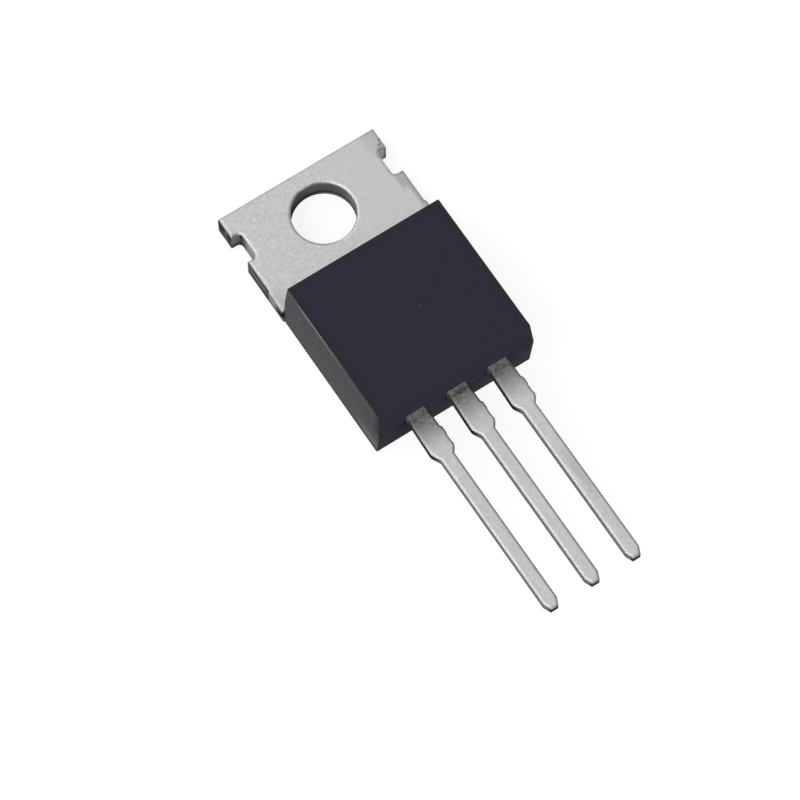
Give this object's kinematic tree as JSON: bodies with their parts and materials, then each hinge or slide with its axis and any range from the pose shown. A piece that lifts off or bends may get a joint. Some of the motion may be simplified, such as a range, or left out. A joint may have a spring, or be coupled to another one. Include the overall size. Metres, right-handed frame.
{
  "type": "power mosfet",
  "caption": "Power mosfet in a three-lead through-hole package: moulded block on a notched metal tab with a screw hole, straight leads.",
  "frame": {"origin": "the mounting hole's axis, on the back face of the tab", "axes": "+Z out of the front of the package, +Y to the free end of the tab, leads along -Y, gate on the -X side"},
  "size_m": [0.01, 0.0285, 0.0045],
  "materials": {
    "epoxy": "matte",
    "tinned_copper": "satin",
    "silicon": "gloss",
    "solder": "matte",
    "bond_wire": "satin"
  },
  "bodies": {
    "root": {"mould_body": "epoxy", "drain_frame": "tinned_copper", "gate_lead": "tinned_copper", "source_lead": "tinned_copper", "silicon_die": "silicon", "die_solder": "solder", "gate_bond_wire": "bond_wire", "source_bond_wire_1": "bond_wire", "source_bond_wire_2": "bond_wire"}
  },
  "joints": []
}
